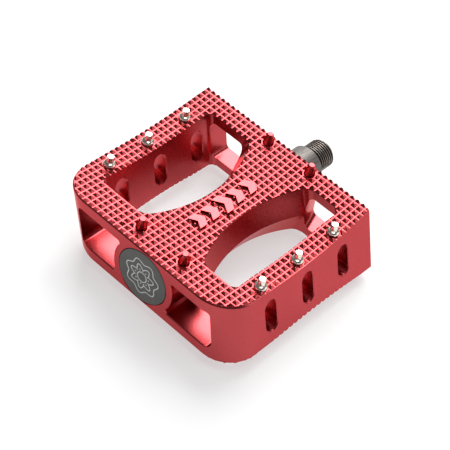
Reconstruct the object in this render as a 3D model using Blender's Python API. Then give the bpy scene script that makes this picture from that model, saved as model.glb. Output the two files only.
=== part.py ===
"""Flat bicycle pedal: dished, knurled aluminium platform on a 9/16 inch axle.

Metres, Z up. X runs along the axle towards the crank, the platform is symmetric
under a half turn about X, and its leading and trailing rails lean the same way.
"""
import math

import bmesh
import bpy
from mathutils import Matrix, Vector

MM = 0.001

# overall layout, millimetres
PLATFORM_X = -12.825        # middle of the platform, so the whole pedal is centred on the origin
HALF_LENGTH = 48.0          # half the platform along the axle
HALF_WIDTH = 49.9           # half the platform across the axle, at mid height
RAIL_LEAN = 0.35            # sideways lean of both rails per unit of height
OUTBOARD_CORNER = 17.3      # plan radius of the two outboard corners
INBOARD_CORNER = 1.2
MID_HEIGHT = 12.3           # half thickness in the middle of the dish
DISH = 0.0014               # rise of each face per square millimetre from the middle

# windows either side of the axle housing
WINDOW_OUTBOARD = -31.8
WINDOW_INBOARD = 37.8
RAIL_INNER = 39.4
INNER_LEAN = 0.28
FACE_WAIST = 8.6            # half width of the axle housing at its top and bottom faces
BELT_WAIST = 13.5           # half width at mid height, where its sides meet in a ridge
WAIST_X = 3.0               # where the housing is narrowest
HOUSING_RADIUS = 72.0       # plan radius of the waisted sides

# openings through the two end walls
OPENING_HALF = 9.2
OUTBOARD_BOSS = 17.0
INBOARD_BOSS = 20.0

# drain slots through the rails
SLOT_CENTRES = (-20.5, 3.75, 28.0)
SLOT_WIDTH = 7.2
SLOT_HEIGHT = 14.8

# steel traction pins and integral studs
PIN_X = (-22.0, 1.9, 26.0)
PIN_Y_HIGH = 48.2
PIN_Y_LOW = -41.6
STUD_SITES = ((-38.2, 12.5), (-38.2, -12.5), (44.0, 12.5), (44.0, -12.5))

SEGMENTS = 44
GAP = 0.3


def faceHeight(x):
    """Half thickness of the platform at a distance x from its middle."""
    return MID_HEIGHT + DISH * x * x


def clearScene():
    for collection in (bpy.data.objects, bpy.data.meshes, bpy.data.materials):
        for item in list(collection):
            collection.remove(item)


def makeMaterial(name, colour, metallic, roughness):
    material = bpy.data.materials.new(name)
    material.use_nodes = True
    shader = material.node_tree.nodes["Principled BSDF"]
    shader.inputs["Base Color"].default_value = (*colour, 1.0)
    shader.inputs["Metallic"].default_value = metallic
    shader.inputs["Roughness"].default_value = roughness
    material.diffuse_color = (*colour, 1.0)
    return material


def makeObject(name, bm, material=None):
    """Turn a bmesh drawn in platform millimetres into an object in metres."""
    bmesh.ops.remove_doubles(bm, verts=bm.verts, dist=1e-5)
    bmesh.ops.recalc_face_normals(bm, faces=bm.faces)
    bmesh.ops.transform(bm, matrix=Matrix.Scale(MM, 4) @ Matrix.Translation((PLATFORM_X, 0, 0)), verts=bm.verts)
    mesh = bpy.data.meshes.new(name)
    bm.to_mesh(mesh)
    bm.free()
    obj = bpy.data.objects.new(name, mesh)
    bpy.context.scene.collection.objects.link(obj)
    if material:
        mesh.materials.append(material)
    return obj


def loft(bm, rings, close=False):
    """Skin a list of equal-length point rings; cap both ends unless the loft is closed."""
    verts = [[bm.verts.new(p) for p in ring] for ring in rings]
    count = len(rings)
    size = len(rings[0])
    for i in range(count if close else count - 1):
        a, b = verts[i], verts[(i + 1) % count]
        for j in range(size):
            k = (j + 1) % size
            bm.faces.new((a[j], a[k], b[k], b[j]))
    if not close:
        bm.faces.new(list(reversed(verts[0])))
        bm.faces.new(verts[-1])
    return verts


def revolve(bm, profile, segments=SEGMENTS):
    """Spin a closed (x, radius) profile about the X axis; radius 0 points become the axis."""
    rings = []
    for x, radius in profile:
        if radius == 0:
            rings.append([bm.verts.new((x, 0, 0))])
        else:
            turn = [2 * math.pi * i / segments for i in range(segments)]
            rings.append([bm.verts.new((x, radius * math.cos(a), radius * math.sin(a))) for a in turn])
    count = len(rings)
    for i in range(count):
        a, b = rings[i], rings[(i + 1) % count]
        if len(a) == 1 and len(b) == 1:
            continue
        for j in range(segments):
            k = (j + 1) % segments
            if len(a) == 1:
                bm.faces.new((a[0], b[k], b[j]))
            elif len(b) == 1:
                bm.faces.new((a[j], a[k], b[0]))
            else:
                bm.faces.new((a[j], a[k], b[k], b[j]))


def roundedPolygon(corners, steps=5):
    """Plan outline from (x, y, radius) corners, each turned with an arc."""
    outline = []
    count = len(corners)
    for i in range(count):
        here = Vector(corners[i][:2])
        before = (Vector(corners[i - 1][:2]) - here).normalized()
        after = (Vector(corners[(i + 1) % count][:2]) - here).normalized()
        radius = corners[i][2]
        if radius == 0:
            outline.append((here.x, here.y))
            continue
        half = before.angle(after) / 2
        reach = radius / math.tan(half)
        start, end = here + before * reach, here + after * reach
        centre = here + (before + after).normalized() * (radius / math.sin(half))
        a, b = start - centre, end - centre
        sweep = a.angle_signed(b)
        for s in range(steps + 1):
            turn = Matrix.Rotation(-sweep * s / steps, 2)
            p = centre + turn @ a
            outline.append((p.x, p.y))
    return outline


def halfTurn(points):
    """The same points after a half turn about the axle."""
    return [(x, -y, -z) for x, y, z in points]


def booleanCut(target, cutter, operation="DIFFERENCE"):
    modifier = target.modifiers.new(cutter.name, "BOOLEAN")
    modifier.operation = operation
    modifier.object = cutter
    modifier.solver = "EXACT"
    cutter.hide_render = True
    cutter.display_type = "WIRE"


def housingSide(x, z):
    """Housing half width at any height: widest on the belt, narrowing to both faces."""
    flare = HOUSING_RADIUS - math.sqrt(HOUSING_RADIUS ** 2 - (x - WAIST_X) ** 2)
    narrowing = (BELT_WAIST - FACE_WAIST) * abs(z) / faceHeight(x)
    return BELT_WAIST + flare - narrowing


def windowRings():
    """Far window: one side leans with the rail, the other follows the axle housing."""
    corner, blend, steps = 2.2, 3.0, 20
    rail = []
    for x, side in ((WINDOW_OUTBOARD, -1), (WINDOW_INBOARD, 1)):
        for i in range(5):
            a = math.pi * (1 - i / 8) if side < 0 else math.pi * (0.5 - i / 8)
            rail.append((x - side * corner + corner * math.cos(a), RAIL_INNER - corner + corner * math.sin(a)))
    rings = []
    for z in (-20.0, 0.0, 20.0):
        ring = [(x, y + INNER_LEAN * z, z) for x, y in rail]
        for i in range(steps + 1):
            x = WINDOW_INBOARD + (WINDOW_OUTBOARD - WINDOW_INBOARD) * i / steps
            edge = min(WINDOW_INBOARD - x, x - WINDOW_OUTBOARD, blend) / blend
            ring.append((x, housingSide(x, z) + blend * (1 - math.sqrt(1 - (1 - edge) ** 2)), z))
        rings.append(ring)
    return rings


def endOpening(outboard):
    """Cross-section of one far-side end opening, as (y, z) points."""
    lean, half = INNER_LEAN, OPENING_HALF
    outer = RAIL_INNER - 0.5
    if outboard:
        rim = 8
        span = math.asin((half - 1.5) / OUTBOARD_BOSS)
        inner = []
        for i in range(rim + 1):
            a = span - 2 * span * i / rim
            inner.append((OUTBOARD_BOSS * math.cos(a), OUTBOARD_BOSS * math.sin(a), 0))
        inner = [(inner[0][0] + 1.3, half, 0)] + inner + [(inner[-1][0] + 1.3, -half, 0)]
    else:
        inner = [(INBOARD_BOSS, half, 2.0), (INBOARD_BOSS, -half, 2.0)]
    return roundedPolygon(inner + [(outer - lean * half, -half, 2.5), (outer + lean * half, half, 2.5)])


def slotOutline(x0):
    steps = 8
    radius = SLOT_WIDTH / 2
    straight = SLOT_HEIGHT / 2 - radius
    points = []
    for i in range(steps + 1):
        a = math.pi * i / steps
        points.append((x0 + radius * math.cos(a), straight + radius * math.sin(a)))
    for i in range(steps + 1):
        a = math.pi + math.pi * i / steps
        points.append((x0 + radius * math.cos(a), -straight + radius * math.sin(a)))
    return points


def pinSites():
    """Feet of the twelve traction pins: (x, y, up or down)."""
    top = [(x, y, 1) for y in (PIN_Y_HIGH, PIN_Y_LOW) for x in PIN_X]
    return top + [(x, -y, -1) for x, y, _ in top]


def buildBody(material):
    bm = bmesh.new()
    plan = roundedPolygon([
        (-HALF_LENGTH, -HALF_WIDTH, OUTBOARD_CORNER), (HALF_LENGTH, -HALF_WIDTH, INBOARD_CORNER),
        (HALF_LENGTH, HALF_WIDTH, INBOARD_CORNER), (-HALF_LENGTH, HALF_WIDTH, OUTBOARD_CORNER)], steps=10)
    loft(bm, [[(x, y + RAIL_LEAN * z, z) for x, y in plan] for z in (-19.0, 19.0)])
    body = makeObject("pedal_body", bm, material)

    bm = bmesh.new()
    stations = [-52 + 104 * i / 26 for i in range(27)]
    dish = [(x, faceHeight(x)) for x in stations] + [(x, -faceHeight(x)) for x in reversed(stations)]
    loft(bm, [[(x, y, z) for x, z in dish] for y in (-70.0, 70.0)])
    booleanCut(body, makeObject("cut_dish", bm), "INTERSECT")

    bm = bmesh.new()
    far = windowRings()
    loft(bm, far)
    loft(bm, [halfTurn(ring) for ring in far])
    for x, y, side in pinSites():
        height = faceHeight(x)
        turns = [2 * math.pi * i / 16 for i in range(16)]
        loft(bm, [[(x + 1.9 * math.cos(a), y + 1.9 * math.sin(a), side * z) for a in turns]
                  for z in (height - 4.4, height + 3)])
    booleanCut(body, makeObject("cut_windows", bm))

    bm = bmesh.new()
    for outboard, span in ((True, (-50.0, -18.0)), (False, (31.5, 50.0))):
        section = endOpening(outboard)
        rings = [[(x, y, z) for y, z in section] for x in span]
        loft(bm, rings)
        loft(bm, [halfTurn(ring) for ring in rings])
    for x0 in SLOT_CENTRES:
        outline = slotOutline(x0)
        rings = [[(x, y, z) for x, z in outline] for y in (33.0, 56.0)]
        loft(bm, rings)
        loft(bm, [halfTurn(ring) for ring in rings])
    booleanCut(body, makeObject("cut_openings", bm))

    bm = bmesh.new()
    revolve(bm, [(-50, 0), (-50, 13.8), (-45.1, 13.8), (-45.1, 11.3), (-32.5, 11.3), (-32.5, 6.0),
                 (12, 6.0), (33, 9.0), (37.7, 9.0), (37.7, 12.3), (50, 12.3), (50, 0)])
    booleanCut(body, makeObject("cut_bore", bm))

    bm = bmesh.new()
    for x, y in STUD_SITES:
        for side in (1, -1):
            foot = side * (faceHeight(x) - 1.0)
            turns = [2 * math.pi * i / 20 for i in range(20)]
            rings = [(3.0, foot), (2.6, side * (faceHeight(x) + 1.6)), (1.6, side * (faceHeight(x) + 4.7))]
            loft(bm, [[(x + r * math.cos(a), y + r * math.sin(a), z) for a in turns] for r, z in rings])
    booleanCut(body, makeObject("add_studs", bm), "UNION")
    return body


def buildPin(index, x, y, side, material):
    bm = bmesh.new()
    base = faceHeight(x) + GAP
    profile = [(-4.3, 0), (-4.3, 1.2), (-3.9, 1.6), (0, 1.6), (0, 2.8), (0.5, 2.8), (1.2, 2.5),
               (1.7, 1.6), (4.0, 1.6), (4.3, 1.3), (4.3, 0)]
    revolve(bm, profile, 16)
    turn = Matrix.Translation((x, y, side * base)) @ Matrix.Rotation(-side * math.pi / 2, 4, "Y")
    bmesh.ops.transform(bm, matrix=turn, verts=bm.verts)
    face = "top" if side > 0 else "bottom"
    return makeObject("%s_pin_%d" % (face, index), bm, material)


def threadProfile(start, end, crest, root, pitch):
    """Saw-tooth of annular crests between two stations."""
    points = []
    x = start
    while x + pitch < end:
        points += [(x, root), (x + pitch / 2, crest)]
        x += pitch
    return points + [(x, root)]


def buildAxle(material):
    bm = bmesh.new()
    outer = threadProfile(62.6, 73.2, 7.1, 6.45, 1.27)
    profile = [(-44.6, 0), (-44.6, 4.1), (-44.1, 4.6), (-39.0, 4.6), (-39.0, 4.7), (-32.5, 4.7), (-32.5, 5.4),
               (12, 5.4), (33, 7.2), (43.3, 7.2), (43.3, 8.7), (43.7, 9.1), (61.2, 9.1), (61.7, 8.6),
               (61.7, 7.5), (62.4, 7.3), (62.4, 6.45)]
    profile += outer + [(73.65, 6.0), (73.65, 0)]
    revolve(bm, profile)
    axle = makeObject("axle", bm, material)
    bm = bmesh.new()
    hexagon = [(4.62 * math.cos(i * math.pi / 3), 4.62 * math.sin(i * math.pi / 3)) for i in range(6)]
    loft(bm, [[(x, y, z) for y, z in hexagon] for x in (65.0, 76.0)])
    booleanCut(axle, makeObject("cut_hex_socket", bm))
    return axle


def buildBearing(name, centre, width, bore, outside, ballRadius, balls, steel, seal):
    """Deep groove bearing as three bodies: outer race, inner race, balls held in a cage."""
    pitch = (bore + outside) / 2
    groove = ballRadius + GAP
    half = width / 2
    step = groove * 0.8
    turns = [math.radians(a) for a in (-50, -25, 0, 25, 50)]

    bm = bmesh.new()
    land = pitch + step
    arc = [(groove * math.sin(a), pitch + groove * math.cos(a)) for a in turns]
    section = [(-half, outside), (-half, land + 0.1)] + [(x, max(r, land)) for x, r in arc] + \
              [(half, land + 0.1), (half, outside)]
    revolve(bm, [(centre + x, r) for x, r in section])
    outer = makeObject(name + "_outer_race", bm, steel)

    bm = bmesh.new()
    land = pitch - step
    arc = [(groove * math.sin(a), pitch - groove * math.cos(a)) for a in turns]
    section = [(-half, bore), (-half, land - 0.1)] + [(x, min(r, land)) for x, r in arc] + \
              [(half, land - 0.1), (half, bore)]
    revolve(bm, [(centre + x, r) for x, r in section])
    inner = makeObject(name + "_inner_race", bm, steel)

    bm = bmesh.new()
    thin = ballRadius * 0.3
    wide = ballRadius * 0.75
    revolve(bm, [(centre - wide, pitch - thin), (centre - wide, pitch + thin),
                 (centre + wide, pitch + thin), (centre + wide, pitch - thin)], 44)
    cage = makeObject(name + "_ball_cage", bm, seal)
    bm = bmesh.new()
    for i in range(balls):
        a = 2 * math.pi * i / balls
        place = Matrix.Translation((centre, pitch * math.cos(a), pitch * math.sin(a)))
        bmesh.ops.create_uvsphere(bm, u_segments=10, v_segments=7, radius=ballRadius, matrix=place)
    booleanCut(cage, makeObject("add_%s_balls" % name, bm), "UNION")
    return outer, inner, cage


def buildSmallParts(materials):
    bm = bmesh.new()
    revolve(bm, [(-40.1, 4.9), (-40.1, 7.4), (-39.1, 7.4), (-39.1, 4.9)])
    makeObject("keyed_washer", bm, materials["steel"])

    bm = bmesh.new()
    flat = 14.0 / 2 / math.cos(math.pi / 6)
    outside = [(flat * math.cos(i * math.pi / 3), flat * math.sin(i * math.pi / 3)) for i in range(6)]
    loft(bm, [[(x, y, z) for y, z in outside] for x in (-44.3, -40.4)])
    nut = makeObject("locknut", bm, materials["steel"])
    bm = bmesh.new()
    revolve(bm, [(-46, 0), (-46, 4.9), (-39, 4.9), (-39, 0)])
    booleanCut(nut, makeObject("cut_nut_bore", bm))

    bm = bmesh.new()
    revolve(bm, [(-48.0, 0), (-48.0, 13.2), (-47.7, 13.5), (-45.4, 13.5), (-45.4, 0)], 64)
    makeObject("end_cap", bm, materials["cap"])

    bm = bmesh.new()
    revolve(bm, [(43.3, 10.0), (43.3, 12.0), (47.3, 12.0), (47.3, 9.4), (46.7, 9.4), (45.6, 10.0)])
    makeObject("axle_seal", bm, materials["rubber"])


def main():
    clearScene()
    materials = {
        "red": makeMaterial("anodised red aluminium", (0.42, 0.015, 0.03), 0.9, 0.35),
        "steel": makeMaterial("bearing steel", (0.55, 0.55, 0.54), 1.0, 0.25),
        "pin": makeMaterial("nickel plated steel", (0.72, 0.70, 0.66), 1.0, 0.15),
        "axle": makeMaterial("ground chromoly steel", (0.42, 0.42, 0.40), 1.0, 0.35),
        "cage": makeMaterial("brass cage and balls", (0.55, 0.45, 0.25), 0.9, 0.3),
        "cap": makeMaterial("dark grey cap", (0.06, 0.065, 0.06), 0.2, 0.5),
        "rubber": makeMaterial("black rubber", (0.02, 0.02, 0.02), 0.0, 0.8),
    }
    buildBody(materials["red"])
    buildAxle(materials["axle"])
    buildBearing("outboard", -35.8, 6.0, 5.0, 11.0, 1.5, 11, materials["steel"], materials["cage"])
    buildBearing("inboard", 40.5, 5.0, 7.5, 12.0, 1.1, 15, materials["steel"], materials["cage"])
    buildSmallParts(materials)
    count = {1: 0, -1: 0}
    for x, y, side in pinSites():
        count[side] += 1
        buildPin(count[side], x, y, side, materials["pin"])


main()
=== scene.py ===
import math

import bmesh
import bpy
from mathutils import Matrix, Vector


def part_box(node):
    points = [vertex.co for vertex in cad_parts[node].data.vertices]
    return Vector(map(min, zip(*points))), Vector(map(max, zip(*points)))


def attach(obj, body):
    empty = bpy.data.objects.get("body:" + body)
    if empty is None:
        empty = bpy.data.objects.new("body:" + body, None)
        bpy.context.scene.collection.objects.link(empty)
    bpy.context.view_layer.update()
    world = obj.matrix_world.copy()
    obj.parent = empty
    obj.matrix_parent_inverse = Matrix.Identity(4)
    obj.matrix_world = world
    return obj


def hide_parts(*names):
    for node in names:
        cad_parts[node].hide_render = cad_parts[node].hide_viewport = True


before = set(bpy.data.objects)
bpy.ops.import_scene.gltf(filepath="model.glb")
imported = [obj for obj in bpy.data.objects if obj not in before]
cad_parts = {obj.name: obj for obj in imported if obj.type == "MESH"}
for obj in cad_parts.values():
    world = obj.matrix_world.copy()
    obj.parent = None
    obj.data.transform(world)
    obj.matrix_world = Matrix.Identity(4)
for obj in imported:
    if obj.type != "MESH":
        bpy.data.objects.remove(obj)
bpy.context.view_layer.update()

# All shapes are drawn in millimetres with x = 0 at the platform's middle, then placed by these.
mm = 0.001
bodyLow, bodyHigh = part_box("pedal_body")
middleX = (bodyLow.x + bodyHigh.x) / 2
halfLength = (bodyHigh.x - bodyLow.x) / 2 / mm
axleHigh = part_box("axle")[1]
toFrame = Matrix.Translation((middleX, 0, 0)) @ Matrix.Scale(mm, 4)


# Closed bmesh in millimetres -> shaded object in the frame's metres.
def makePiece(name, bm, material=None, smoothAngle=30, place=True):
    bmesh.ops.remove_doubles(bm, verts=bm.verts, dist=1e-5)
    bmesh.ops.recalc_face_normals(bm, faces=bm.faces)
    if place:
        bmesh.ops.transform(bm, matrix=toFrame, verts=bm.verts)
    mesh = bpy.data.meshes.new(name)
    bm.to_mesh(mesh)
    bm.free()
    piece = bpy.data.objects.new(name, mesh)
    bpy.context.scene.collection.objects.link(piece)
    if material:
        mesh.materials.append(material)
    shade(mesh, smoothAngle)
    return piece


def shade(mesh, angle):
    mesh.shade_smooth()
    mesh.set_sharp_from_angle(angle=math.radians(angle))


# Replace a piece's mesh by what its modifiers make of it, and drop the modifiers.
def bake(piece, material=None, smoothAngle=30):
    graph = bpy.context.evaluated_depsgraph_get()
    mesh = bpy.data.meshes.new_from_object(piece.evaluated_get(graph))
    piece.modifiers.clear()
    piece.data = mesh
    if material:
        mesh.materials.clear()
        mesh.materials.append(material)
        mesh.polygons.foreach_set("material_index", [0] * len(mesh.polygons))
    if smoothAngle:
        shade(mesh, smoothAngle)
    return piece


# One boolean per tool, baked, with the tools removed afterwards.
def combine(piece, operation, tools, solver="MANIFOLD"):
    for tool in tools:
        step = piece.modifiers.new(tool.name, "BOOLEAN")
        step.operation = operation
        step.solver = solver
        step.object = tool
    bake(piece)
    for tool in tools:
        bpy.data.objects.remove(tool)
    return piece


def copyOf(piece, name):
    twin = bpy.data.objects.new(name, piece.data.copy())
    bpy.context.scene.collection.objects.link(twin)
    return twin


# Join equal rings of points with quads, and cap the two ends unless the skin is closed.
def skin(bm, rings, closed=False):
    rows = [[bm.verts.new(p) for p in ring] for ring in rings]
    size = len(rings[0])
    for i in range(len(rows) if closed else len(rows) - 1):
        a, b = rows[i], rows[(i + 1) % len(rows)]
        for j in range(size):
            k = (j + 1) % size
            bm.faces.new((a[j], a[k], b[k], b[j]))
    if not closed:
        bm.faces.new(list(reversed(rows[0])))
        bm.faces.new(rows[-1])


def turnAngles(count):
    return [2 * math.pi * i / count for i in range(count)]


# Upright circle of points round (x, y), at height z.
def circle(x, y, z, radius, count):
    return [(x + radius * math.cos(a), y + radius * math.sin(a), z) for a in turnAngles(count)]


# Spin (station, radius) points into a closed skin; the first and last sit on the axis.
def turned(bm, profile, segments, along="x"):
    rings = []
    for s, r in profile[1:-1]:
        ring = [(s, r * math.cos(a), r * math.sin(a)) for a in turnAngles(segments)]
        rings.append(ring if along == "x" else [(y, z, x) for x, y, z in ring])
    rows = [[bm.verts.new(p) for p in ring] for ring in rings]
    tips = []
    for s in (profile[0][0], profile[-1][0]):
        tips.append(bm.verts.new((s, 0, 0) if along == "x" else (0, 0, s)))
    for a, b in zip(rows, rows[1:]):
        for j in range(segments):
            k = (j + 1) % segments
            bm.faces.new((a[j], a[k], b[k], b[j]))
    for tip, row in ((tips[0], rows[0]), (tips[1], rows[-1])):
        for j in range(segments):
            bm.faces.new((tip, row[j], row[(j + 1) % segments]))


# Spin a closed (x, radius) section that keeps clear of the axis.
def tube(bm, section, segments):
    rings = [[(x, r * math.cos(a), r * math.sin(a)) for x, r in section] for a in turnAngles(segments)]
    skin(bm, rings, closed=True)


# Outline through (u, v, radius) corners, each turned with an arc.
def roundedOutline(corners, steps=8):
    outline = []
    for i, (u, v, radius) in enumerate(corners):
        here = Vector((u, v))
        before = (Vector(corners[i - 1][:2]) - here).normalized()
        after = (Vector(corners[(i + 1) % len(corners)][:2]) - here).normalized()
        half = before.angle(after) / 2
        centre = here + (before + after).normalized() * (radius / math.sin(half))
        start = here + before * (radius / math.tan(half)) - centre
        sweep = start.angle_signed(here + after * (radius / math.tan(half)) - centre)
        for s in range(steps + 1):
            p = centre + Matrix.Rotation(-sweep * s / steps, 2) @ start
            outline.append((p.x, p.y))
    return outline


def halfTurn(points):
    return [(x, -y, -z) for x, y, z in points]


def startFinish(name, colour, metallic, roughness):
    material = bpy.data.materials.new(name)
    material.use_nodes = True
    shader = material.node_tree.nodes["Principled BSDF"]
    shader.inputs["Base Color"].default_value = (*colour, 1)
    shader.inputs["Metallic"].default_value = metallic
    shader.inputs["Roughness"].default_value = roughness
    return material, shader


def addNode(material, kind, **settings):
    node = material.node_tree.nodes.new(kind)
    for key, value in settings.items():
        setattr(node, key, value)
    return node


# Object coordinates, squeezed along an axis where the marks of a tool run along it.
def objectCoords(material, stretch=(1, 1, 1)):
    links = material.node_tree.links
    place = addNode(material, "ShaderNodeTexCoord")
    mapping = addNode(material, "ShaderNodeMapping")
    mapping.inputs["Scale"].default_value = stretch
    links.new(place.outputs["Object"], mapping.inputs["Vector"])
    return mapping.outputs["Vector"]


def noise(material, coords, scale, detail=3.0, roughness=0.5):
    node = addNode(material, "ShaderNodeTexNoise")
    node.inputs["Scale"].default_value = scale
    node.inputs["Detail"].default_value = detail
    node.inputs["Roughness"].default_value = roughness
    material.node_tree.links.new(coords, node.inputs["Vector"])
    return node.outputs["Fac"]


# Map a noise's usual range to a pair of values.
def spread(material, source, low, high, fromLow=0.3, fromHigh=0.7):
    node = addNode(material, "ShaderNodeMapRange")
    for label, value in (("From Min", fromLow), ("From Max", fromHigh), ("To Min", low), ("To Max", high)):
        node.inputs[label].default_value = value
    material.node_tree.links.new(source, node.inputs["Value"])
    return node.outputs["Result"]


def blendColours(material, factor, first, second):
    node = addNode(material, "ShaderNodeMix", data_type="RGBA")
    node.inputs["A"].default_value = (*first, 1)
    node.inputs["B"].default_value = (*second, 1)
    links = material.node_tree.links
    links.new(factor, node.inputs["Factor"])
    return node.outputs["Result"]


def addBump(material, shader, height, strength, distance):
    node = addNode(material, "ShaderNodeBump")
    node.inputs["Strength"].default_value = strength
    node.inputs["Distance"].default_value = distance
    links = material.node_tree.links
    links.new(height, node.inputs["Height"])
    links.new(node.outputs["Normal"], shader.inputs["Normal"])


# A metal, rubber or lacquer finish from one dictionary.
def finishFrom(spec):
    material, shader = startFinish(spec["name"], spec["colour"], spec["metallic"], spec["roughness"])
    coords = objectCoords(material, spec.get("stretch", (1, 1, 1)))
    links = material.node_tree.links
    cloud = noise(material, coords, spec["cloudScale"])
    factor = spread(material, cloud, 0, 1)
    links.new(blendColours(material, factor, spec["colour"], spec["shade"]), shader.inputs["Base Color"])
    grain = noise(material, coords, spec["grainScale"], 2.0, 0.6)
    low, high = spec["roughness"] - spec["roughSpread"], spec["roughness"] + spec["roughSpread"]
    links.new(spread(material, grain, low, high), shader.inputs["Roughness"])
    addBump(material, shader, grain, spec["bump"], spec["grainDepth"])
    shader.inputs["Coat Weight"].default_value = spec.get("coat", 0)
    shader.inputs["Coat Roughness"].default_value = spec.get("coatRoughness", 0.1)
    shader.inputs["Specular Tint"].default_value = (*spec.get("edgeTint", (1, 1, 1)), 1)
    return material


redAnodised = finishFrom(dict(
    name="redAnodised", colour=(0.45, 0.046, 0.052), shade=(0.41, 0.038, 0.044),
    metallic=1.0, roughness=0.3, roughSpread=0.05,
    cloudScale=45, grainScale=2600, bump=0.22, grainDepth=0.00006,
    coat=0.5, coatRoughness=0.22, edgeTint=(0.95, 0.16, 0.2)))
pinPlate = finishFrom(dict(
    name="nickelPlate", colour=(0.88, 0.83, 0.75), shade=(0.8, 0.73, 0.64),
    metallic=1.0, roughness=0.27, roughSpread=0.05,
    cloudScale=300, grainScale=4000, bump=0.1, grainDepth=0.00003))
axleSteel = finishFrom(dict(
    name="groundAxle", colour=(0.218, 0.196, 0.184), shade=(0.14, 0.13, 0.122),
    metallic=1.0, roughness=0.58, roughSpread=0.1,
    cloudScale=1100, grainScale=2400, bump=0.5, grainDepth=0.00012, stretch=(0.08, 1, 1)))
threadBlack = finishFrom(dict(
    name="oiledThread", colour=(0.07, 0.063, 0.056), shade=(0.05, 0.046, 0.041),
    metallic=1.0, roughness=0.34, roughSpread=0.1,
    cloudScale=500, grainScale=3000, bump=0.2, grainDepth=0.00004))
# Lighter finish for the thread crests: a painted highlight along them, in place of the light the crests
# catch.
threadCrest = finishFrom(dict(
    name="threadCrest", colour=(0.32, 0.288, 0.256), shade=(0.26, 0.235, 0.21),
    metallic=1.0, roughness=0.5, roughSpread=0.06,
    cloudScale=500, grainScale=3000, bump=0.1, grainDepth=0.00003))
bearingSteel = finishFrom(dict(
    name="bearingSteel", colour=(0.58, 0.58, 0.57), shade=(0.50, 0.50, 0.50),
    metallic=1.0, roughness=0.2, roughSpread=0.06,
    cloudScale=200, grainScale=3000, bump=0.1, grainDepth=0.00003, stretch=(1, 0.2, 0.2)))
cageBrass = finishFrom(dict(
    name="cageBrass", colour=(0.62, 0.47, 0.2), shade=(0.5, 0.37, 0.15),
    metallic=1.0, roughness=0.28, roughSpread=0.06,
    cloudScale=220, grainScale=2600, bump=0.15, grainDepth=0.00004))
sealRubber = finishFrom(dict(
    name="sealRubber", colour=(0.018, 0.018, 0.018), shade=(0.03, 0.029, 0.028),
    metallic=0.0, roughness=0.6, roughSpread=0.12,
    cloudScale=240, grainScale=2200, bump=0.3, grainDepth=0.00008))
capGrey = finishFrom(dict(
    name="capGrey", colour=(0.1, 0.1, 0.094), shade=(0.078, 0.079, 0.074),
    metallic=0.35, roughness=0.46, roughSpread=0.06,
    cloudScale=110, grainScale=3200, bump=0.25, grainDepth=0.00005))
etchedLine = finishFrom(dict(
    name="etchedLine", colour=(0.62, 0.64, 0.62), shade=(0.5, 0.52, 0.5),
    metallic=0.6, roughness=0.42, roughSpread=0.08,
    cloudScale=900, grainScale=3500, bump=0.2, grainDepth=0.00004))
print("materials: done")


platform = dict(
    halfWidth=49.9,          # at mid height
    lean=0.351,              # sideways lean of both rails per unit of height
    outboardCorner=17.3,
    inboardCorner=0.8,
    tipHeight=12.82,         # from the axle to the teeth tips in the middle of the dish
    dish=0.0014,             # rise of the tread per square millimetre from the middle
    toothDepth=1.2,
    edgeRadius=1.1,          # round the outside of the tread, below its teeth
    edgeAngles=(22, 45, 67),  # the rings that make that rounding, in degrees
    inboardEdge=0.3,         # how much of that rounding the square inboard end gets
    cornerSteps=20,
    over=3.0,                # how far the uncut block stands above the teeth tips
    sideHeight=12.3)         # where the housing's sloping sides reach their narrowest

windows = dict(
    outboard=-31.8, inboard=37.8, rail=39.4, railLean=0.295, railCorner=3.2,
    beltWaist=13.5, faceWaist=8.6,      # half widths of the housing at mid height and at the tread
    waistX=3.0, plumpness=72.0,         # where it is narrowest, and the radius of its long curve
    blend=3.0, chamfer=1.4, over=5.0, cornerSteps=8, sideSteps=72)

ports = dict(
    halfHeight=9.2, outer=38.9, outboardBoss=17.0, inboardBoss=20.0,
    inboardFlare=3.2,        # widening of the inboard ports towards the housing, at their mouths
    outboardEnd=-30.6, inboardEnd=31.0,
    outerCorner=2.5, upperCorner=3.0, lowerCorner=2.0, heel=1.2,
    bossDrop=1.3, bossCorner=0.3, bossSteps=14, bossFillet=0.02,
    edge=0.45,               # broken edges, on the slots too
    past=2.0)                # how far the tools stand out of the wall they cut

slots = dict(centres=(-20.5, 3.75, 28.0), width=7.2, height=14.8, steps=16)


def tipLevel(x):
    return platform["tipHeight"] + platform["dish"] * x * x


# Outline of the leaning block at a level that follows the dished tread.
def blockRing(inset, side, above):
    w, o, i = platform["halfWidth"] - inset, platform["outboardCorner"], platform["inboardCorner"]
    far, near = halfLength - inset * platform["inboardEdge"], -(halfLength - inset)
    sharp = max(i - inset, 0.05)
    corners = [(near, -w, o - inset), (far, -w, sharp), (far, w, sharp), (near, w, o - inset)]
    outline = roundedOutline(corners, steps=platform["cornerSteps"])
    ring = []
    for x, y in outline:
        z = side * (tipLevel(x) + above)
        ring.append((x, y + platform["lean"] * z, z))
    return ring


def makeBlock():
    r, floor, over = platform["edgeRadius"], platform["toothDepth"], platform["over"]
    rounding = [(0.0, -floor - r)]
    for angle in platform["edgeAngles"]:
        a = math.radians(angle)
        rounding.append((r * (1 - math.cos(a)), -floor - r * (1 - math.sin(a))))
    inset, above = rounding[-1]
    rounding.append((inset + (over - above) / 2, over))
    bm = bmesh.new()
    skin(bm, [blockRing(inset, -1, above) for inset, above in reversed(rounding)]
         + [blockRing(inset, 1, above) for inset, above in rounding])
    return makePiece("block", bm)


# How far the housing's side stands from the axle.
def housingSide(x, z):
    w = windows
    flare = w["plumpness"] - math.sqrt(w["plumpness"] ** 2 - (x - w["waistX"]) ** 2)
    slope = (w["beltWaist"] - w["faceWaist"]) / (platform["sideHeight"] + platform["dish"] * x * x)
    return w["beltWaist"] + flare - slope * abs(z)


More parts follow.
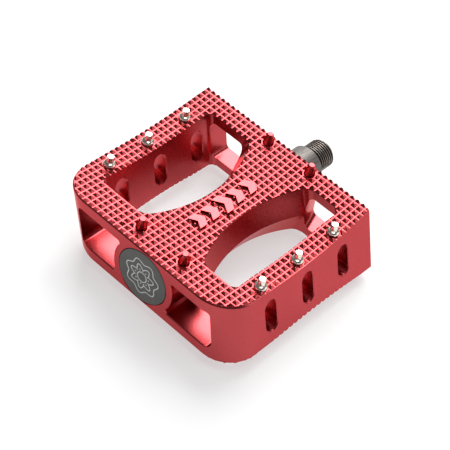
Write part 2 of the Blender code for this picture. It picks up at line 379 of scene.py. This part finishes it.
# Outline of the far window on a level given as a height or as a side and a distance above the tips.
def windowRing(level, grow):
    def height(x):
        return level if isinstance(level, (int, float)) else level[0] * (tipLevel(x) + level[1])

    w, r = windows, windows["railCorner"] + grow
    start, end = w["outboard"] - grow, w["inboard"] + grow
    ring = []
    for corner, first in ((start + r, math.pi), (end - r, math.pi / 2)):
        for i in range(w["cornerSteps"] + 1):
            a = first - math.pi / 2 * i / w["cornerSteps"]
            x = corner + r * math.cos(a)
            z = height(x)
            ring.append((x, w["rail"] + grow - r + r * math.sin(a) + w["railLean"] * z, z))
    for i in range(w["sideSteps"] + 1):
        x = end + (start - end) * i / w["sideSteps"]
        z = height(x)
        edge = max(0.0, min(end - x, x - start, w["blend"]) / w["blend"])
        fillet = w["blend"] * (1 - math.sqrt(1 - (1 - edge) ** 2))
        ring.append((x, housingSide(x, z) - grow + fillet, z))
    return ring


def makeWindowTool():
    c, over = windows["chamfer"], windows["over"]
    bm = bmesh.new()
    far = [windowRing((-1, over), over + c), windowRing((-1, -c), 0), windowRing(0.0, 0),
           windowRing((1, -c), 0), windowRing((1, over), over + c)]
    skin(bm, far)
    skin(bm, [halfTurn(ring) for ring in far])
    return makePiece("windowTool", bm)


# Cross-section (y, z) of a far end port, grown by a chamfer's width and flared towards the housing.
def portOutline(outboard, grow, flare=0.0):
    p = ports
    half, outer = p["halfHeight"] + grow, p["outer"] + grow
    shift = windows["railLean"] * half
    if outboard:
        boss = p["outboardBoss"] - grow
        span = math.asin((half - p["bossDrop"]) / boss)
        corner = boss * math.cos(span) + p["heel"]
        inner = [(corner, half, p["bossCorner"])]
        for i in range(p["bossSteps"] + 1):
            a = span * (1 - 2 * i / p["bossSteps"])
            inner.append((boss * math.cos(a), boss * math.sin(a), p["bossFillet"]))
        inner.append((corner, -half, p["bossCorner"]))
    else:
        side = p["inboardBoss"] - grow - flare
        inner = [(side + p["heel"], half, p["upperCorner"] + grow), (side, -half, p["lowerCorner"] + grow)]
    rounded = p["outerCorner"] + grow
    return roundedOutline(inner + [(outer - shift, -half, rounded), (outer + shift, half, rounded)])


def makePortTool():
    bm = bmesh.new()
    e, past = ports["edge"], ports["past"]
    for outboard, face, inside, flare in ((True, -halfLength, ports["outboardEnd"], 0.0),
                                          (False, halfLength, ports["inboardEnd"], ports["inboardFlare"])):
        out = math.copysign(1, face)
        stations = [(face + out * past, e + past, flare), (face - out * e, 0, flare), (inside, 0, 0)]
        if flare:
            stations.insert(2, (windows["inboard"], 0, 0))
        rings = [[(x, y, z) for y, z in portOutline(outboard, grow, shift)] for x, grow, shift in stations]
        skin(bm, rings)
        skin(bm, [halfTurn(ring) for ring in rings])
    return makePiece("portTool", bm)


def slotOutline(x0, grow):
    radius = slots["width"] / 2 + grow
    straight = slots["height"] / 2 - slots["width"] / 2
    points = []
    for lift, turn in ((straight, 0), (-straight, math.pi)):
        for i in range(slots["steps"] + 1):
            a = turn + math.pi * i / slots["steps"]
            points.append((x0 + radius * math.cos(a), lift + radius * math.sin(a)))
    return points


def makeSlotTool():
    bm = bmesh.new()
    e, past = ports["edge"], ports["past"]
    outside = (platform["halfWidth"], platform["lean"])
    inside = (windows["rail"], windows["railLean"])
    cuts = ((e + past, outside, past), (0, outside, -e), (0, inside, e), (e + past, inside, -past))
    for x0 in slots["centres"]:
        rings = []
        for grow, (wall, slant), shift in cuts:
            rings.append([(x, wall + slant * z + shift, z) for x, z in slotOutline(x0, grow)])
        skin(bm, rings)
        skin(bm, [halfTurn(ring) for ring in rings])
    return makePiece("slotTool", bm)


slab = dict(halfLength=52, halfWidth=70.0, steps=96)


# The dished slab whose faces are the floors between the teeth.
def makeFloorSlab():
    bm = bmesh.new()
    far = slab["halfLength"]
    stations = [-far + 2 * far * i / slab["steps"] for i in range(slab["steps"] + 1)]
    upper = [(x, tipLevel(x) - platform["toothDepth"]) for x in stations]
    profile = upper + [(x, -z) for x, z in reversed(upper)]
    skin(bm, [[(x, y, z) for x, z in profile] for y in (-slab["halfWidth"], slab["halfWidth"])])
    return makePiece("floorSlab", bm)


bore = dict(
    capRadius=13.85, capDepth=2.9, capFlare=2.2, capEdge=0.2,
    bearingRadius=11.3, bearingEnd=-32.5, through=6.0, taperStart=12, taperEnd=33,
    inboardBearing=9.0, sealSeat=37.7, sealRadius=12.3, sealFlare=2.3, sealEdge=0.3, past=50, segments=128)


def makeBoreTool():
    b = bore
    capFloor = -halfLength + b["capDepth"]
    profile = [(-b["past"], 0), (-b["past"], b["capRadius"] + b["capFlare"]),
               (-halfLength + b["capEdge"], b["capRadius"]), (capFloor, b["capRadius"]),
               (capFloor, b["bearingRadius"]), (b["bearingEnd"], b["bearingRadius"]),
               (b["bearingEnd"], b["through"]), (b["taperStart"], b["through"]),
               (b["taperEnd"], b["inboardBearing"]), (b["sealSeat"], b["inboardBearing"]),
               (b["sealSeat"], b["sealRadius"]), (halfLength - b["sealEdge"], b["sealRadius"]),
               (b["past"], b["sealRadius"] + b["sealFlare"]), (b["past"], 0)]
    bm = bmesh.new()
    turned(bm, profile, b["segments"])
    return makePiece("boreTool", bm)


teeth = dict(
    pitch=3.15, gap=0.5, tip=0.4, depth=platform["toothDepth"], sunk=0.1,
    columns=33, rows=35, firstX=51.135, firstY=56.575, dish=platform["dish"], smoothAngle=20)


def addSocket(tree, label, kind, way="INPUT"):
    tree.interface.new_socket(label, in_out=way, socket_type=kind)


# A geometry tree with one named input for each size, integer or float as the size's own value is.
def startTree(name, sizes):
    tree = bpy.data.node_groups.new(name, "GeometryNodeTree")
    addSocket(tree, "Geometry", "NodeSocketGeometry")
    addSocket(tree, "Geometry", "NodeSocketGeometry", "OUTPUT")
    for label, value in sizes.items():
        addSocket(tree, label, "NodeSocketInt" if isinstance(value, int) else "NodeSocketFloat")
    return tree, tree.nodes.new("NodeGroupInput"), tree.nodes.new("NodeGroupOutput")


# Set a tree's inputs by their sockets' identifiers.
def setInputs(modifier, values):
    for item in modifier.node_group.interface.items_tree:
        if item.in_out == "INPUT" and item.name in values:
            modifier[item.identifier] = values[item.name]


def maths(tree, operation, first, second):
    node = tree.nodes.new("ShaderNodeMath")
    node.operation = operation
    for socket, value in zip(node.inputs, (first, second)):
        if isinstance(value, (int, float)):
            socket.default_value = value
        else:
            tree.links.new(value, socket)
    return node.outputs[0]


def finishTree(tree, source, material, output):
    realize = tree.nodes.new("GeometryNodeRealizeInstances")
    paint = tree.nodes.new("GeometryNodeSetMaterial")
    paint.inputs["Material"].default_value = material
    tree.links.new(source, realize.inputs[0])
    tree.links.new(realize.outputs[0], paint.inputs[0])
    tree.links.new(paint.outputs[0], output.inputs[0])


# Square frustums on a grid, each raised to follow the dish.
def toothTree(material):
    sizes = {"Pitch": 0.0, "Columns": 1, "Rows": 1, "Base": 0.0, "Tip": 0.0, "Depth": 0.0,
             "First X": 0.0, "First Y": 0.0, "Foot": 0.0, "Dish": 0.0, "Middle X": 0.0}
    tree, given, output = startTree("knurlTeeth", sizes)
    out, link, new = given.outputs, tree.links.new, tree.nodes.new
    spanX = maths(tree, "MULTIPLY", out["Pitch"], maths(tree, "SUBTRACT", out["Columns"], 1))
    spanY = maths(tree, "MULTIPLY", out["Pitch"], maths(tree, "SUBTRACT", out["Rows"], 1))
    grid = new("GeometryNodeMeshGrid")
    for socket, value in zip(grid.inputs, (spanX, spanY, out["Columns"], out["Rows"])):
        link(value, socket)
    shift = new("ShaderNodeCombineXYZ")
    link(maths(tree, "SUBTRACT", out["First X"], maths(tree, "MULTIPLY", spanX, 0.5)), shift.inputs["X"])
    link(maths(tree, "SUBTRACT", out["First Y"], maths(tree, "MULTIPLY", spanY, 0.5)), shift.inputs["Y"])
    link(out["Foot"], shift.inputs["Z"])
    place = new("GeometryNodeTransform")
    link(grid.outputs["Mesh"], place.inputs["Geometry"])
    link(shift.outputs[0], place.inputs["Translation"])
    tooth = new("GeometryNodeMeshCone")
    tooth.inputs["Vertices"].default_value = 4
    for label, size in (("Radius Top", "Tip"), ("Radius Bottom", "Base")):
        link(maths(tree, "MULTIPLY", out[size], math.sqrt(0.5)), tooth.inputs[label])
    link(out["Depth"], tooth.inputs["Depth"])
    square = new("GeometryNodeTransform")
    square.inputs["Rotation"].default_value = (0, 0, math.pi / 4)
    link(tooth.outputs["Mesh"], square.inputs["Geometry"])
    instance = new("GeometryNodeInstanceOnPoints")
    link(place.outputs["Geometry"], instance.inputs["Points"])
    link(square.outputs["Geometry"], instance.inputs["Instance"])
    realize = new("GeometryNodeRealizeInstances")
    link(instance.outputs[0], realize.inputs[0])
    where = new("GeometryNodeInputPosition")
    split = new("ShaderNodeSeparateXYZ")
    link(where.outputs[0], split.inputs[0])
    away = maths(tree, "SUBTRACT", split.outputs["X"], out["Middle X"])
    rise = new("ShaderNodeCombineXYZ")
    link(maths(tree, "MULTIPLY", out["Dish"], maths(tree, "MULTIPLY", away, away)), rise.inputs["Z"])
    lift = new("GeometryNodeSetPosition")
    link(realize.outputs[0], lift.inputs["Geometry"])
    link(rise.outputs[0], lift.inputs["Offset"])
    finishTree(tree, lift.outputs[0], material, output)
    return tree


# The upper tread's teeth and, by a half turn, the lower tread's.
def makeTeeth(material):
    t = teeth
    base = t["pitch"] - t["gap"]
    slope = (base - t["tip"]) / t["depth"]
    foot = platform["tipHeight"] - t["depth"] - t["sunk"]
    upper = makePiece("upperTeeth", bmesh.new())
    modifier = upper.modifiers.new("knurl", "NODES")
    modifier.node_group = toothTree(material)
    setInputs(modifier, {
        "Pitch": t["pitch"] * mm, "Columns": t["columns"], "Rows": t["rows"],
        "Base": (base + slope * t["sunk"]) * mm, "Tip": t["tip"] * mm,
        "Depth": (t["depth"] + t["sunk"]) * mm, "Foot": foot * mm,
        "First X": middleX + t["firstX"] * mm, "First Y": t["firstY"] * mm,
        "Dish": t["dish"] / mm, "Middle X": middleX})
    bake(upper, material, t["smoothAngle"])
    lower = copyOf(upper, "lowerTeeth")
    lower.data.transform(Matrix.Rotation(math.pi, 4, "X"))
    return upper, lower


studs = dict(
    columns=(-38.2, 44.0), aside=12.5, baseRadius=2.75, topRadius=1.5, height=4.3,
    sunk=1.2, footHeight=0.2, footTaper=0.1, neckDrop=1.2, edge=0.25,
    clearing=3.3, segments=40)


# Stud places: two at each end wall, mirrored onto both treads.
def studSites():
    return [(x, side * studs["aside"]) for x in studs["columns"] for side in (1, -1)]


def makeStuds():
    s = studs
    bm = bmesh.new()
    for x, y in studSites():
        for side in (1, -1):
            top = tipLevel(x) + s["height"]
            foot = tipLevel(x) - platform["toothDepth"]
            profile = [(foot - s["sunk"], s["baseRadius"]),
                       (foot + s["footHeight"], s["baseRadius"] - s["footTaper"]),
                       (top - s["neckDrop"], s["topRadius"] + s["edge"]),
                       (top - s["edge"], s["topRadius"]),
                       (top, s["topRadius"] - s["edge"])]
            skin(bm, [circle(x, y, side * z, r, s["segments"]) for z, r in profile])
    return makePiece("studs", bm, smoothAngle=40)


tiles = dict(
    firstX=-18.6, step=8.1, count=5, length=4.3, halfHeight=3.8, point=2.4,
    middleGrowth=1.3,        # the one in the middle is this much larger
    proud=0.3, sunk=0.5,     # above the teeth tips, and below the floors between them
    moat=0.4, moatDepth=0.3, moatTop=3.0, endGrowth=1.2)


def chevron(i, grow):
    t = tiles
    size = t["middleGrowth"] if i == t["count"] // 2 else 1.0
    high, point, extra = t["halfHeight"] * size + grow, t["point"] * size, grow * t["endGrowth"]
    start = t["firstX"] + t["step"] * i - extra
    end = t["firstX"] + t["step"] * i + t["length"] + extra
    return [(start, -high), (end, -high), (end + point, 0), (end, high), (start, high), (start + point, 0)]


# Plain chevrons with flat tops along the housing on both treads, or the tool that clears room for them.
def makeTiles(name, grow, low, high):
    bm = bmesh.new()
    for i in range(tiles["count"]):
        for side in (1, -1):
            skin(bm, [[(x, side * y, side * (tipLevel(x) + level)) for x, y in chevron(i, grow)]
                      for level in (low, high)])
    return makePiece(name, bm)


clearings = dict(pinRadius=3.45, sunk=0.4, height=12, segments=32)


# Cylinders that clear the teeth from round the pins and studs.
def makeSpotTool(sites):
    bm = bmesh.new()
    for x, y, side, radius in sites:
        foot = tipLevel(x) - platform["toothDepth"] - clearings["sunk"]
        levels = (foot, foot + clearings["height"])
        skin(bm, [circle(x, y, side * z, radius, clearings["segments"]) for z in levels])
    return makePiece("spotTool", bm)


pinNodes = sorted(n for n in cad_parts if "_pin_" in n)


# Places of the steel pins in millimetres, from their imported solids.
def pinSites():
    sites = []
    for node in pinNodes:
        low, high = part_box(node)
        centre = (low + high) / 2
        sites.append(((centre.x - middleX) / mm, centre.y / mm, 1 if centre.z > 0 else -1))
    return sites


def makePlatform(material):
    shell = combine(makeBlock(), "DIFFERENCE", [makeWindowTool()])
    spots = [(x, y, side, clearings["pinRadius"]) for x, y, side in pinSites()]
    spots += [(x, y, side, studs["clearing"]) for x, y in studSites() for side in (1, -1)]
    depth = platform["toothDepth"]
    moats = makeTiles("tileTool", tiles["moat"], -depth - tiles["moatDepth"], tiles["moatTop"])
    tread = combine(copyOf(shell, "tread"), "DIFFERENCE", [makeSpotTool(spots), moats])
    upper, lower = makeTeeth(material)
    combine(upper, "INTERSECT", [copyOf(tread, "treadCopy")])
    combine(lower, "INTERSECT", [tread])
    print("teeth:", len(upper.data.polygons) + len(lower.data.polygons), "faces")
    combine(shell, "INTERSECT", [makeFloorSlab()])
    combine(shell, "DIFFERENCE", [makePortTool(), makeSlotTool(), makeBoreTool()])
    chevrons = makeTiles("tiles", 0.0, -depth - tiles["sunk"], tiles["proud"])
    combine(shell, "UNION", [makeStuds(), chevrons, upper, lower])
    shell.name = "platformBody"
    weight = shell.modifiers.new("flatFaces", "WEIGHTED_NORMAL")   # keeps the large faces flat to the eye
    weight.keep_sharp = True
    weight.weight = 90
    bake(shell, material, None)
    return shell


body = makePlatform(redAnodised)
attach(body, "platform")
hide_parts("pedal_body")
print("platform:", len(body.data.polygons), "faces")


pin = dict(
    shank=1.5, shankDepth=4.0, shankEdge=0.3, collar=2.95, collarUnder=0.05, collarEdge=0.15,
    collarFoot=0.1, collarRim=0.45, collarHeight=2.0, domeSteps=8, neck=0.12,
    tip=1.65, tipShape=((0.3, 0.0), (0.08, 0.12), (0.0, 0.34)),     # (below its top, inside its radius)
    height=5.3, seat=0.1, segments=48, smoothAngle=35)


# One turned pin on every point, stood along that point's facing.
def pinTree(shape, material):
    tree, given, output = startTree("pinsOnPoints", {"Size": 1.0})
    link, new = tree.links.new, tree.nodes.new
    source = new("GeometryNodeObjectInfo")
    source.inputs["Object"].default_value = shape
    facing = new("GeometryNodeInputNamedAttribute")
    facing.data_type = "FLOAT_VECTOR"
    facing.inputs["Name"].default_value = "facing"
    align = new("FunctionNodeAlignRotationToVector")
    align.axis = "Z"
    link(facing.outputs["Attribute"], align.inputs["Vector"])
    instance = new("GeometryNodeInstanceOnPoints")
    link(given.outputs["Geometry"], instance.inputs["Points"])
    link(source.outputs["Geometry"], instance.inputs["Instance"])
    link(align.outputs[0], instance.inputs["Rotation"])
    link(given.outputs["Size"], instance.inputs["Scale"])
    finishTree(tree, instance.outputs[0], material, output)
    return tree


def makePins(material):
    p = pin
    rise, width = p["collarHeight"] - p["collarRim"], p["collar"] - p["tip"]
    dome = []
    for i in range(p["domeSteps"]):
        a = math.pi / 2 * i / p["domeSteps"]
        dome.append((p["collarRim"] + rise * math.sin(a), p["tip"] + width * math.cos(a)))
    shank = [(-p["shankDepth"], 0), (-p["shankDepth"], p["shank"] - p["shankEdge"]),
             (-p["shankDepth"] + p["shankEdge"], p["shank"]), (-p["collarUnder"], p["shank"])]
    collar = [(-p["collarUnder"], p["collar"] - p["collarEdge"]), (p["collarFoot"], p["collar"])]
    tip = [(p["collarHeight"] + p["neck"], p["tip"])]
    tip += [(p["height"] - below, p["tip"] - inside) for below, inside in p["tipShape"]]
    profile = shank + collar + dome + tip + [(p["height"], 0)]
    bm = bmesh.new()
    turned(bm, [(s * mm, r * mm) for s, r in profile], p["segments"], along="z")
    shape = makePiece("pinShape", bm, smoothAngle=p["smoothAngle"], place=False)
    points, facings = [], []
    for x, y, side in pinSites():
        floor = tipLevel(x) - platform["toothDepth"] + p["seat"]
        points.append((middleX + x * mm, y * mm, side * floor * mm))
        facings.append((0, 0, side))
    sites = bpy.data.meshes.new("pinSites")
    sites.from_pydata(points, [], [])
    facing = sites.attributes.new("facing", "FLOAT_VECTOR", "POINT")
    for i, way in enumerate(facings):
        facing.data[i].vector = way
    pins = bpy.data.objects.new("gripPins", sites)
    bpy.context.scene.collection.objects.link(pins)
    modifier = pins.modifiers.new("pins", "NODES")
    modifier.node_group = pinTree(shape, material)
    setInputs(modifier, {"Size": 1.0})
    bake(pins, material, p["smoothAngle"])
    bpy.data.objects.remove(shape)
    return pins


pins = makePins(pinPlate)
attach(pins, "platform")
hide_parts(*pinNodes)
print("pins:", len(pins.data.polygons), "faces")


axle = dict(
    end=(axleHigh.x - middleX) / mm, shoulder=9.1, shoulderEnd=61.7, threadStart=62.4,
    hidden=((-44.6, 4.1), (-44.1, 4.6), (-39.0, 4.6), (-39.0, 4.7), (-32.5, 4.7), (-32.5, 5.4),
            (12, 5.4), (33, 7.2), (43.3, 7.2), (43.3, 8.7)),        # (x, radius) inside the housing
    shoulderStart=(43.7, 48.0),
    shoulderShape=((0.45, 0.0), (0.12, 0.13), (0.0, 0.45)),         # (before its end, inside its radius)
    relief=7.3, reliefFoot=6.9, reliefWidth=0.3,
    segments=96, smoothAngle=32)

thread = dict(
    crest=7.14, root=6.42, pitch=1.27, steepness=1.6, rootFlat=0.2,
    fadeStart=0.4, fadeLength=0.8, chamfer=1.1, endRadius=0.5, ringsPerTurn=10, crestHighlightBand=0.1)

hexSocket = dict(across=8.0, depth=8.6, mouthDepth=0.5, past=1.5, mouthGrowth=1.43)


# Helical 9/16 inch thread with narrow flats, faded in at the shoulder and chamfered at the end.
def threadRadius(x, angle):
    t = thread
    turn = (x / t["pitch"] - angle / (2 * math.pi)) % 1.0
    ridge = min(max((1 - abs(2 * turn - 1)) * t["steepness"] - t["rootFlat"], 0), 1)
    fade = min(max((x - axle["threadStart"] - t["fadeStart"]) / t["fadeLength"], 0), 1)
    radius = t["root"] + (t["crest"] - t["root"]) * ridge * fade
    return min(radius, t["root"] - t["endRadius"] + (axle["end"] - x) * t["chamfer"])


def makeSocketTool():
    corner = hexSocket["across"] / math.sqrt(3)
    hexagon = [(corner * math.cos(a), corner * math.sin(a)) for a in turnAngles(6)]
    stations = ((axle["end"] - hexSocket["depth"], 1), (axle["end"] - hexSocket["mouthDepth"], 1),
                (axle["end"] + hexSocket["past"], hexSocket["mouthGrowth"]))
    bm = bmesh.new()
    skin(bm, [[(x, y * growth, z * growth) for y, z in hexagon] for x, growth in stations])
    return makePiece("socketTool", bm)


def makeAxle(metal, blackened, crestHighlight):
    a = axle
    plain = list(a["hidden"]) + [(x, a["shoulder"]) for x in a["shoulderStart"]]
    plain += [(a["shoulderEnd"] - before, a["shoulder"] - inside) for before, inside in a["shoulderShape"]]
    plain += [(a["shoulderEnd"], a["relief"]), (a["threadStart"] - a["reliefWidth"], a["reliefFoot"]),
              (a["threadStart"], thread["root"])]
    angles = turnAngles(a["segments"])
    rings = [[(x, r * math.cos(t), r * math.sin(t)) for t in angles] for x, r in plain]
    threadLength = a["end"] - a["threadStart"]
    count = int(threadLength / thread["pitch"] * thread["ringsPerTurn"])
    for i in range(1, count + 1):
        x = a["threadStart"] + threadLength * i / count
        ring = []
        for t in angles:
            r = threadRadius(x, t)
            ring.append((x, r * math.cos(t), r * math.sin(t)))
        rings.append(ring)
    bm = bmesh.new()
    skin(bm, rings)
    piece = makePiece("axleShaft", bm, metal, a["smoothAngle"])
    combine(piece, "DIFFERENCE", [makeSocketTool()])
    piece.data.materials.clear()
    for finish in (metal, blackened, crestHighlight):
        piece.data.materials.append(finish)
    edge = middleX + (a["shoulderEnd"] + 0.02) * mm      # just past the shoulder's end face
    # Faces within the crest band of the outer radius get the lighter crest finish, a painted highlight
    # along the crests; the rest of the thread gets the black finish.
    highlightLevel = (thread["crest"] - thread["crestHighlightBand"]) * mm
    for face in piece.data.polygons:
        crest = math.hypot(face.center.y, face.center.z) > highlightLevel
        face.material_index = 0 if face.center.x < edge else (2 if crest else 1)
    shade(piece.data, a["smoothAngle"])
    return piece


shaft = makeAxle(axleSteel, threadBlack, threadCrest)
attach(shaft, "axle")
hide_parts("axle")
print("axle:", len(shaft.data.polygons), "faces")


cap = dict(radius=13.62, thickness=2.6, rim=0.35, rimSteps=5, flatRim=3, segments=160)
rosette = dict(
    rings=((8.6, 0.9, 7), (5.6, 1.1, 7), (2.6, 0.0, 0)),    # (radius, depth of the lobes, lobes)
    width=0.5, lift=0.035, sunk=0.05, steps=180, dashes=14, dashEnds=(3.5, 4.3))


def makeCap(material):
    c = cap
    face = -halfLength
    back = face + c["thickness"]
    profile = [(face, 0), (face, c["radius"] - c["flatRim"])]
    for i in range(c["rimSteps"] + 1):
        a = math.pi / 2 * (1 - i / c["rimSteps"])
        profile.append((face + c["rim"] * (1 - math.sin(a)), c["radius"] - c["rim"] * (1 - math.cos(a))))
    profile += [(back, c["radius"]), (back, 0)]
    bm = bmesh.new()
    turned(bm, profile, c["segments"])
    return makePiece("endCap", bm, material, 40)


# A thin flat strip along a line of (y, z) points on the cap's face.
def ribbon(bm, line, width, closed):
    count = len(line)
    outer, inner = [], []
    for i, p in enumerate(line):
        before = line[i - 1] if closed or i else p
        after = line[(i + 1) % count] if closed or i < count - 1 else p
        along = Vector((after[0] - before[0], after[1] - before[1])).normalized()
        side = Vector((-along.y, along.x)) * width / 2
        outer.append((p[0] + side.x, p[1] + side.y))
        inner.append((p[0] - side.x, p[1] - side.y))
    low, high = -halfLength + rosette["sunk"], -halfLength - rosette["lift"]
    rings = [[(low, *b), (high, *b), (high, *a), (low, *a)] for a, b in zip(outer, inner)]
    skin(bm, rings, closed=closed)


def makeRosette(material):
    bm = bmesh.new()
    for radius, depth, lobes in rosette["rings"]:
        line = []
        for a in turnAngles(rosette["steps"]):
            r = radius + depth * math.sin(lobes * a)
            line.append((r * math.cos(a), r * math.sin(a)))
        ribbon(bm, line, rosette["width"], True)
    for i in range(rosette["dashes"]):
        a = 2 * math.pi * (i + 0.5) / rosette["dashes"]
        dash = [(r * math.cos(a), r * math.sin(a)) for r in rosette["dashEnds"]]
        ribbon(bm, dash, rosette["width"], False)
    return makePiece("capRosette", bm, material, 30)


endCap = makeCap(capGrey)
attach(endCap, "platform")
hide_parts("end_cap")
mark = makeRosette(etchedLine)
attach(mark, "platform")
print("end cap: done")


# Grooves and lips are (before the end, beside a radius): from the middle, then from the inner radius.
seal = dict(
    inner=9.35, outer=12.1, start=43.35, end=47.35, backRelief=0.8, edge=0.3,
    groove=((0, 0.5), (0.5, 0.25), (0.5, -0.35), (0, -0.6)),
    lip=((0, 0.12), (0.3, 0), (1.4, 0.55)), segments=128)


def makeSeal(material):
    s = seal
    middle = (s["inner"] + s["outer"]) / 2
    section = [(s["start"], s["inner"] + s["backRelief"]), (s["start"], s["outer"]),
               (s["end"] - s["edge"], s["outer"]), (s["end"], s["outer"] - s["edge"])]
    section += [(s["end"] - before, middle + beside) for before, beside in s["groove"]]
    section += [(s["end"] - before, s["inner"] + beside) for before, beside in s["lip"]]
    bm = bmesh.new()
    tube(bm, section, s["segments"])
    return makePiece("axleSeal", bm, material, 35)


axleSeal = makeSeal(sealRubber)
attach(axleSeal, "platform")
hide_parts("axle_seal")


# The bearings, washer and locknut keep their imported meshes.
for node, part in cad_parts.items():
    if node.endswith("_race") or node in ("keyed_washer", "locknut"):
        part.data.materials.clear()
        part.data.materials.append(bearingSteel)
    elif node.endswith("_ball_cage"):
        part.data.materials.clear()
        part.data.materials.append(cageBrass)
print("inner parts: done")


camera = dict(
    aim=(-0.0108, -0.0022, 0.0), distance=0.6168, azimuth=-57.621, elevation=46.375, roll=13.961,
    lens=111.96, sensor=36, clipStart=0.01)
lights = (
    dict(name="backSoftbox", towards=(0.58, 0.37, 0.72), distance=0.95, size=0.75, energy=14.0),
    dict(name="overheadSoftbox", towards=(-0.05, -0.2, 1.0), distance=1.0, size=0.45, energy=2.0),
    dict(name="farFill", towards=(-0.77, 0.37, 0.53), distance=1.0, size=0.6, energy=0.12),
    dict(name="lowFill", towards=(0.58, -0.75, 0.36), distance=1.0, size=0.5, energy=1.3))
ground = dict(
    profile=((2.3, 0.0), (2.6, 0.03), (2.8, 0.1), (2.95, 0.25), (3.05, 0.6)), segments=96,
    grey=0.5, roughness=0.9, glow=0.55, gap=0.0001)
airGrey = 0.075


# The camera's right, up and back directions.
def basis(azimuth, elevation):
    a, e = math.radians(azimuth), math.radians(elevation)
    back = Vector((math.sin(a) * math.cos(e), -math.cos(a) * math.cos(e), math.sin(e)))
    right = Vector((math.cos(a), math.sin(a), 0))
    return right, back.cross(right), back


def makeCamera():
    c = camera
    right, up, back = basis(c["azimuth"], c["elevation"])
    r = math.radians(c["roll"])
    across = math.cos(r) * right + math.sin(r) * up
    upward = -math.sin(r) * right + math.cos(r) * up
    data = bpy.data.cameras.new("studioCamera")
    data.lens = c["lens"]
    data.sensor_width = c["sensor"]
    data.clip_start = c["clipStart"]
    view = bpy.data.objects.new("studioCamera", data)
    place = Vector(c["aim"]) + back * c["distance"]
    view.matrix_world = Matrix.Translation(place) @ Matrix((across, upward, back)).transposed().to_4x4()
    bpy.context.scene.collection.objects.link(view)
    bpy.context.scene.camera = view


def makeLight(spec):
    data = bpy.data.lights.new(spec["name"], "AREA")
    data.energy = spec["energy"]
    data.size = spec["size"]
    lamp = bpy.data.objects.new(spec["name"], data)
    direction = Vector(spec["towards"]).normalized()
    lamp.location = direction * spec["distance"]
    lamp.rotation_euler = direction.to_track_quat("Z", "Y").to_euler()
    bpy.context.scene.collection.objects.link(lamp)


# A round floor whose rim curves up, so that low views meet no hard horizon.
def makeFloor():
    g = ground
    bm = bmesh.new()
    rows = []
    for radius, height in g["profile"]:
        rows.append([bm.verts.new(p) for p in circle(0, 0, height, radius, g["segments"])])
    bm.faces.new(rows[0])
    for a, b in zip(rows, rows[1:]):
        for j in range(len(a)):
            k = (j + 1) % len(a)
            bm.faces.new((a[j], b[j], b[k], a[k]))
    material, shader = startFinish("paleFloor", (g["grey"],) * 3, 0.0, g["roughness"])
    shader.inputs["Emission Color"].default_value = (1, 1, 1, 1)
    shader.inputs["Emission Strength"].default_value = g["glow"]
    mesh = bpy.data.meshes.new("studioFloor")
    bm.to_mesh(mesh)
    bm.free()
    mesh.shade_smooth()
    mesh.transform(Matrix.Translation((0, 0, bodyLow.z - g["gap"])))
    mesh.materials.append(material)
    floor = bpy.data.objects.new("studioFloor", mesh)
    bpy.context.scene.collection.objects.link(floor)


makeCamera()
for spec in lights:
    makeLight(spec)
makeFloor()
world = bpy.data.worlds.new("studioAir")
world.use_nodes = True
world.node_tree.nodes["Background"].inputs["Color"].default_value = (airGrey, airGrey, airGrey, 1)
bpy.context.scene.world = world
bpy.context.scene.view_settings.view_transform = "Standard"
print("studio: done")
